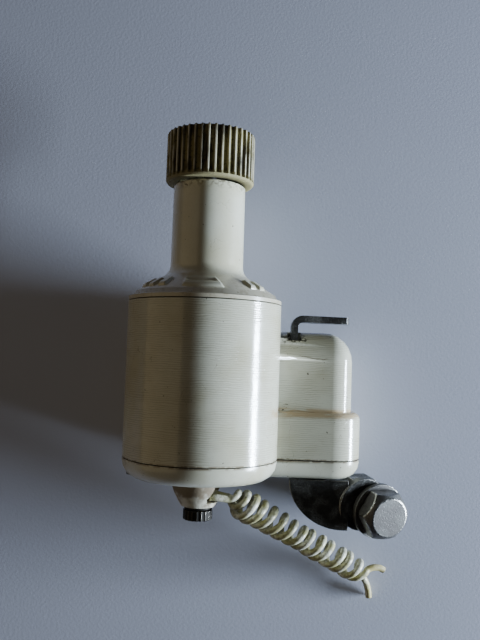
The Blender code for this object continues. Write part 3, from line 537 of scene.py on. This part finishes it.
def refined(node, name, material, edge=None, width=None):
    """A CAD node's shape, welded and smooth; edge is the finish of its rounded edges, if any."""
    work = bmesh.new()
    work.from_mesh(frame["nodes"][node].data)
    bmesh.ops.remove_doubles(work, verts=work.verts[:], dist=WELD_DISTANCE * MM)
    flat = math.radians(FLAT_ANGLE)
    bmesh.ops.dissolve_limit(work, angle_limit=flat, verts=work.verts[:], edges=work.edges[:])
    obj = new_object(name, mesh_of(work, name), MATERIALS[material])
    if edge:
        obj.data.materials.append(MATERIALS[edge])
        rounding = obj.modifiers.new("rounded_edges", "BEVEL")
        rounding.width = width * MM
        rounding.segments = 3
        rounding.limit_method = "ANGLE"
        rounding.angle_limit = math.radians(EDGE_ANGLE)
        rounding.material = 1
    level = obj.modifiers.new("level_flats", "WEIGHTED_NORMAL")
    level.keep_sharp = True
    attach(obj, body_of(node))
    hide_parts(node)


# The lead

CORE_R = 1.0
COIL_FROM = at(11.6, -6.9, 21.4)
COIL_TO = at(48.6, -29.9, 4.4)
COIL_TURNS = 7
COIL_RADIUS = (3.75, 3.45, 3.1, 3.05, 2.95)
TURN_POINTS = 14
SETTLE_TURNS = 0.7
POINT_SPACING = 0.7

# Each core's points inside the collar and after the coil, the CAD nodes that it stands for, and the
# degrees by which it lags in the coil, at the coil's start and end.
CORES = {
    "lead_a": {
        "inner": [(3.4, -5.3, 24.4), (5.4, -5.4, 24.4), (7.4, -5.7, 24.0), (9.0, -6.0, 23.6)],
        "tail": [(51.9, -29.6, 5.0), (53.4, -29.0, 4.6), (55.6, -29.1, 4.0), (57.2, -29.9, 3.6)],
        "nodes": ("lead_core_a", "lead_coil", "lead_tail_a"),
        "lag": (0.0, 0.0),
    },
    "lead_b": {
        "inner": [(3.4, -5.0, 20.4), (5.4, -5.2, 20.5), (7.4, -5.6, 20.8), (9.0, -5.8, 21.0)],
        "tail": [(51.0, -32.6, 3.2), (52.0, -34.2, 2.4), (52.8, -36.6, 1.6), (53.2, -39.0, 1.1)],
        "nodes": ("lead_core_b", "lead_coil", "lead_tail_b"),
        "lag": (118.0, 170.0),
    },
}


def curve_through(route, spacing):
    """Points about this far apart on a smooth curve through the route's own points."""
    points = []
    ends = [route[0] * 2 - route[1]] + route + [route[-1] * 2 - route[-2]]
    for a, b, c, d in zip(ends, ends[1:], ends[2:], ends[3:]):
        steps = max(2, round((c - b).length / spacing))
        for i in range(steps):
            t = i / steps
            cubic = 3 * b - a - 3 * c + d
            point = 2 * b + (c - a) * t
            point += (2 * a - 5 * b + 4 * c - d) * t**2
            point += cubic * t**3
            points.append(0.5 * point)
    return points + [route[-1]]


def coil_radius(t):
    """The radius of a core's middle line at a share t of the coil, a little uneven."""
    place = t * (len(COIL_RADIUS) - 1)
    i = min(int(place), len(COIL_RADIUS) - 2)
    uneven = 0.16 * math.sin(9.0 * t + 1.0) + 0.10 * math.sin(23.0 * t)
    return mix(COIL_RADIUS[i], COIL_RADIUS[i + 1], smooth(place - i)) + uneven


def coil_route(start, end, lag):
    """One core's left-handed helix, which runs smoothly from its start point to its end point."""
    along = (COIL_TO - COIL_FROM).normalized()
    across = Vector((0.0, 0.0, 1.0)).cross(along).normalized()
    up = along.cross(across)

    def polar(point):
        """The point's angle round the coil's middle line and its distance from that line."""
        side = point - COIL_FROM
        side -= along * side.dot(along)
        return math.atan2(side.dot(up), side.dot(across)), side.length / MM

    def nearest(angle, other):
        """The angle, with whole turns added to bring it closest to the other."""
        return angle + 2 * math.pi * round((other - angle) / (2 * math.pi))

    total_turn = -2 * math.pi * COIL_TURNS
    first_lag, last_lag = (math.radians(angle) for angle in lag)
    first_angle, first_radius = polar(start)
    first_angle = nearest(first_angle, first_lag)
    last_angle, last_radius = polar(end)
    last_angle = nearest(last_angle, total_turn + last_lag)
    first = (start - COIL_FROM).dot(along)
    last = (end - COIL_FROM).dot(along)
    count = COIL_TURNS * TURN_POINTS
    route = []
    for i in range(1, count):
        t = i / count
        past_start = smooth(t * COIL_TURNS / SETTLE_TURNS)
        before_end = smooth((1 - t) * COIL_TURNS / SETTLE_TURNS)
        angle = total_turn * t + math.radians(mix(*lag, t))
        angle += (first_angle - first_lag) * (1 - past_start)
        angle += (last_angle - total_turn - last_lag) * (1 - before_end)
        radius = mix(first_radius, coil_radius(t), past_start)
        radius = mix(last_radius, radius, before_end)
        side = across * math.cos(angle) + up * math.sin(angle)
        uneven = 0.35 * math.sin(17.0 * t + 0.6) * past_start * before_end
        route.append(COIL_FROM + along * (mix(first, last, t) + uneven * MM) + side * radius * MM)
    return route


def make_lead():
    """Two cores wound round each other, each a cord of its own."""
    for name, core in CORES.items():
        inner = [at(*point) for point in core["inner"]]
        tail = [at(*point) for point in core["tail"]]
        coil = coil_route(inner[-1], tail[0], core["lag"])
        points = curve_through(inner + coil + tail, POINT_SPACING * MM)
        curve = bpy.data.curves.new(name, "CURVE")
        curve.dimensions = "3D"
        curve.bevel_depth = CORE_R * MM
        curve.bevel_resolution = 4
        curve.use_fill_caps = True
        spline = curve.splines.new("POLY")
        spline.points.add(len(points) - 1)
        for knot, point in zip(spline.points, points):
            knot.co = (*point, 1.0)
        obj = new_object(name, curve, MATERIALS["lead_pvc"])
        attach(obj, "housing")
        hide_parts(*core["nodes"])


# The roller

FLUTES = 40
FLUTE_POINTS = 12
ROLLER_R = 12.8
GROOVE_R = 12.0
ROLLER_LOW = 84.1
ROLLER_HIGH = 98.6
BORE_R = 2.3
RECESS_R, RECESS_FLOOR = 7.5, 94.3
SKIRT_R, SKIRT_ROOF = 9.4, 87.5


def roller_radius(share, y):
    """The roller's outer radius at a share of one flute's width and a height, in millimetres."""
    from_land = abs(share - round(share)) * 2 * math.pi * ROLLER_R / FLUTES
    groove = smooth((from_land - 0.17) / 0.34)
    ends = smooth((y - ROLLER_LOW - 0.6) / 0.5)
    radius = ROLLER_R - (ROLLER_R - GROOVE_R) * groove * ends
    radius -= 0.9 * max(0.0, ROLLER_LOW + 0.55 - y)
    return radius - 0.5 * max(0.0, y - ROLLER_HIGH + 0.45)


def make_roller():
    """A lathed shell: up the bore, over the top, down the fluted side and in under the skirt."""
    around = FLUTES * FLUTE_POINTS
    sides = [ROLLER_LOW + 0.1 * i for i in range(1, 20)]
    sides += [ROLLER_LOW + 2.1 + 1.1 * i for i in range(11)]
    sides += [ROLLER_HIGH - 0.4, ROLLER_HIGH - 0.2]
    shares = [i / FLUTE_POINTS for i in range(around)]
    chamfer = 0.3
    upper = [
        (BORE_R, SKIRT_ROOF),
        (BORE_R, RECESS_FLOOR),
        (RECESS_R - chamfer, RECESS_FLOOR),
        (RECESS_R, RECESS_FLOOR + chamfer),
        (RECESS_R, ROLLER_HIGH - chamfer),
        (RECESS_R + chamfer, ROLLER_HIGH),
    ]
    lower = [
        (ROLLER_R - 0.9, ROLLER_LOW),
        (SKIRT_R + 0.2, ROLLER_LOW),
        (SKIRT_R, ROLLER_LOW + 0.2),
        (SKIRT_R, SKIRT_ROOF),
    ]
    rings = [[place] * around for place in upper]
    rings.append([(roller_radius(share, ROLLER_HIGH) - 0.15, ROLLER_HIGH) for share in shares])
    for y in reversed(sides):
        rings.append([(roller_radius(share, y), y) for share in shares])
    rings += [[place] * around for place in lower]
    work = bmesh.new()
    grid = []
    for ring in rings:
        row = []
        for i, (radius, y) in enumerate(ring):
            angle = 2 * math.pi * i / around
            x, z = radius * math.cos(angle), AXIS_Z + radius * math.sin(angle)
            row.append(work.verts.new(at(x, y, z)))
        grid.append(row)
    for row, after in zip(grid, grid[1:] + grid[:1]):
        for i in range(around):
            j = (i + 1) % around
            work.faces.new((row[i], row[j], after[j], after[i]))
    obj = new_object("roller_fluted", mesh_of(work, "roller_fluted", 50.0), MATERIALS["roller"])
    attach(obj, "rotor")
    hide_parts("drive_roller")


# Raised marks on the shoulder

# The cone's radius and Y at its foot and at its top
CONE_LOW = (20.3, 52.0)
CONE_HIGH = (12.6, 56.6)

# A pad rises over PAD_SOFT_EDGE, measured from its sides in units of PAD_SIDE_ANGLE degrees, and
# from its ends in shares of its length times PAD_END_WEIGHT.
PAD_HEIGHT = 0.75
PAD_DEPTH = 0.25
PAD_SOFT_EDGE = 0.09
PAD_SIDE_ANGLE = 18
PAD_END_WEIGHT = 0.6
BAR_SHARES = (0.16, 0.70)
SHOULDER_BARS = {
    "left": ((-62.0, 9.0), (-49.0, 8.0), (-36.0, 9.0)),
    "right": ((46.0, 8.0), (58.0, 9.0)),
}


def on_cone(angle, share, lift):
    """A point at degrees from straight up and a share of the cone's slope, lifted off the cone."""
    radius = mix(CONE_LOW[0], CONE_HIGH[0], share)
    y = mix(CONE_LOW[1], CONE_HIGH[1], share)
    run, rise = CONE_LOW[0] - CONE_HIGH[0], CONE_HIGH[1] - CONE_LOW[1]
    slope = math.hypot(run, rise)
    radius += lift * rise / slope
    y += lift * run / slope
    turn = math.radians(angle)
    return at(radius * math.sin(turn), y, AXIS_Z + radius * math.cos(turn))


def make_pad(name, low, high, shares, rim=None):
    """A raised pad on the cone between two pairs of angles; a rim gives it a sunk middle."""
    across, along = 22, 12
    work = bmesh.new()
    top, bottom = [], []
    for j in range(along + 1):
        t = j / along
        share = mix(*shares, t)
        left, right = mix(low[0], high[0], t), mix(low[1], high[1], t)
        for i in range(across + 1):
            s = i / across
            sides = [part * (right - left) / PAD_SIDE_ANGLE for part in (s, 1 - s)]
            edge = min(*sides, t * PAD_END_WEIGHT, (1 - t) * PAD_END_WEIGHT)
            lift = PAD_HEIGHT * smooth(edge / PAD_SOFT_EDGE)
            if rim:
                lift -= 0.7 * PAD_HEIGHT * smooth((edge - rim) / PAD_SOFT_EDGE)
            angle = mix(left, right, s)
            top.append(work.verts.new(on_cone(angle, share, lift)))
            bottom.append(work.verts.new(on_cone(angle, share, -PAD_DEPTH)))
    row = across + 1
    for j in range(along):
        for i in range(across):
            a = j * row + i
            corners = (a, a + 1, a + row + 1, a + row)
            work.faces.new([top[k] for k in corners])
            work.faces.new([bottom[k] for k in reversed(corners)])
    border = list(range(row)) + [j * row + across for j in range(1, along + 1)]
    border += [along * row + i for i in range(across - 1, -1, -1)]
    border += [j * row for j in range(along - 1, 0, -1)]
    for a, b in zip(border, border[1:] + border[:1]):
        work.faces.new((top[a], bottom[a], bottom[b], top[b]))
    obj = new_object(name, mesh_of(work, name, 60.0), MATERIALS["pads"])
    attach(obj, "housing")


def make_pads():
    """A pad in the middle of the shoulder and short bars on either side of it."""
    make_pad("shoulder_pad_middle", (-16.0, 18.0), (-20.0, 13.0), (0.10, 0.80), rim=0.20)
    for side, bars in SHOULDER_BARS.items():
        for i, (angle, width) in enumerate(bars, start=1):
            angles = (angle - width / 2, angle + width / 2)
            make_pad(f"shoulder_pad_{side}_{i}", angles, angles, BAR_SHARES)


# The other visible parts


def make_shells():
    refined("barrel_housing", "barrel_shell", "barrel")
    refined("neck_housing", "neck_shell", "neck")
    refined("base_cover", "cover_shell", "cover")
    refined("terminal_collar", "collar_moulding", "collar")


def make_metalwork():
    refined("mounting_bracket", "bracket_plate", "dark_steel", "dark_edge", 0.25)
    refined("release_lever", "lever_strip", "dark_steel", "dark_edge", 0.35)
    refined("clamp_bolt", "bolt_m8", "zinc", "zinc_edge", 0.3)
    refined("clamp_washer", "washer_large", "zinc", "zinc_edge", 0.2)
    refined("clamp_nut", "nut_m8", "dark_steel", "dark_edge", 0.2)
    refined("spring_washer", "washer_spring", "dark_steel", "dark_edge", 0.15)
    refined("pivot_washer", "washer_pivot", "zinc", "zinc_edge", 0.1)
    refined("pivot_spindle", "spindle_turned", "zinc", "zinc_edge", 0.15)
    refined("terminal_nut", "nut_knurled", "black_nut", "black_edge", 0.1)
    refined("terminal_washer", "washer_terminal", "black_nut", "black_edge", 0.1)
    refined("roller_nut", "nut_roller", "zinc", "zinc_edge", 0.15)
    refined("roller_washer", "washer_roller", "zinc", "zinc_edge", 0.1)
    refined("rotor_shaft", "shaft_ground", "spring_steel", "zinc_edge", 0.15)
    for i in range(1, 4):
        refined(f"cover_screw_{i}", f"screw_head_{i}", "dark_steel", "dark_edge", 0.1)


def dress_inner_parts():
    """The parts inside keep their CAD shape and get the finish of their slot."""
    for node, obj in frame["nodes"].items():
        if not obj.hide_render:
            obj.data.materials.clear()
            obj.data.materials.append(MATERIALS[SLOT_OF[node]])


# The surroundings

FLOOR_HALF = 3.0


def make_floor():
    """A flat square floor; FLOOR_HALF is half its side, in metres."""
    work = bmesh.new()
    bmesh.ops.create_grid(work, x_segments=8, y_segments=8, size=FLOOR_HALF)
    mesh = bpy.data.meshes.new("floor")
    work.to_mesh(mesh)
    work.free()
    new_object("floor", mesh, MATERIALS["paper"])


def panel(name, place, size, target, power, colour):
    """A rectangular light panel that faces the target."""
    light = bpy.data.lights.new(name, "AREA")
    light.shape = "RECTANGLE"
    light.size, light.size_y = (side * MM for side in size)
    light.energy = power
    light.color = colour
    obj = bpy.data.objects.new(name, light)
    bpy.context.scene.collection.objects.link(obj)
    obj.location = at(*place)
    obj.rotation_euler = (at(*target) - at(*place)).to_track_quat("-Z", "Y").to_euler()


def make_lights():
    """A low, cool window on the right, a weak warm room on the left, and a dim sky."""
    panel("window", (620, -60, 74), (290, 96), (10, 40, 20), 17.0, (0.70, 0.84, 1.0))
    panel("room", (-650, 60, 420), (1100, 900), (0, 40, 20), 0.80, (1.0, 0.80, 0.45))
    world = bpy.data.worlds.new("room_light")
    bpy.context.scene.world = world
    world.use_nodes = True
    background = world.node_tree.nodes["Background"]
    background.inputs["Color"].default_value = (0.80, 0.85, 1.0, 1.0)
    background.inputs["Strength"].default_value = 0.03


make_camera()
SLOT_OF = slots_of_nodes()
MATERIALS = make_materials()
make_lead()
make_roller()
make_pads()
make_shells()
make_metalwork()
dress_inner_parts()
make_floor()
make_lights()
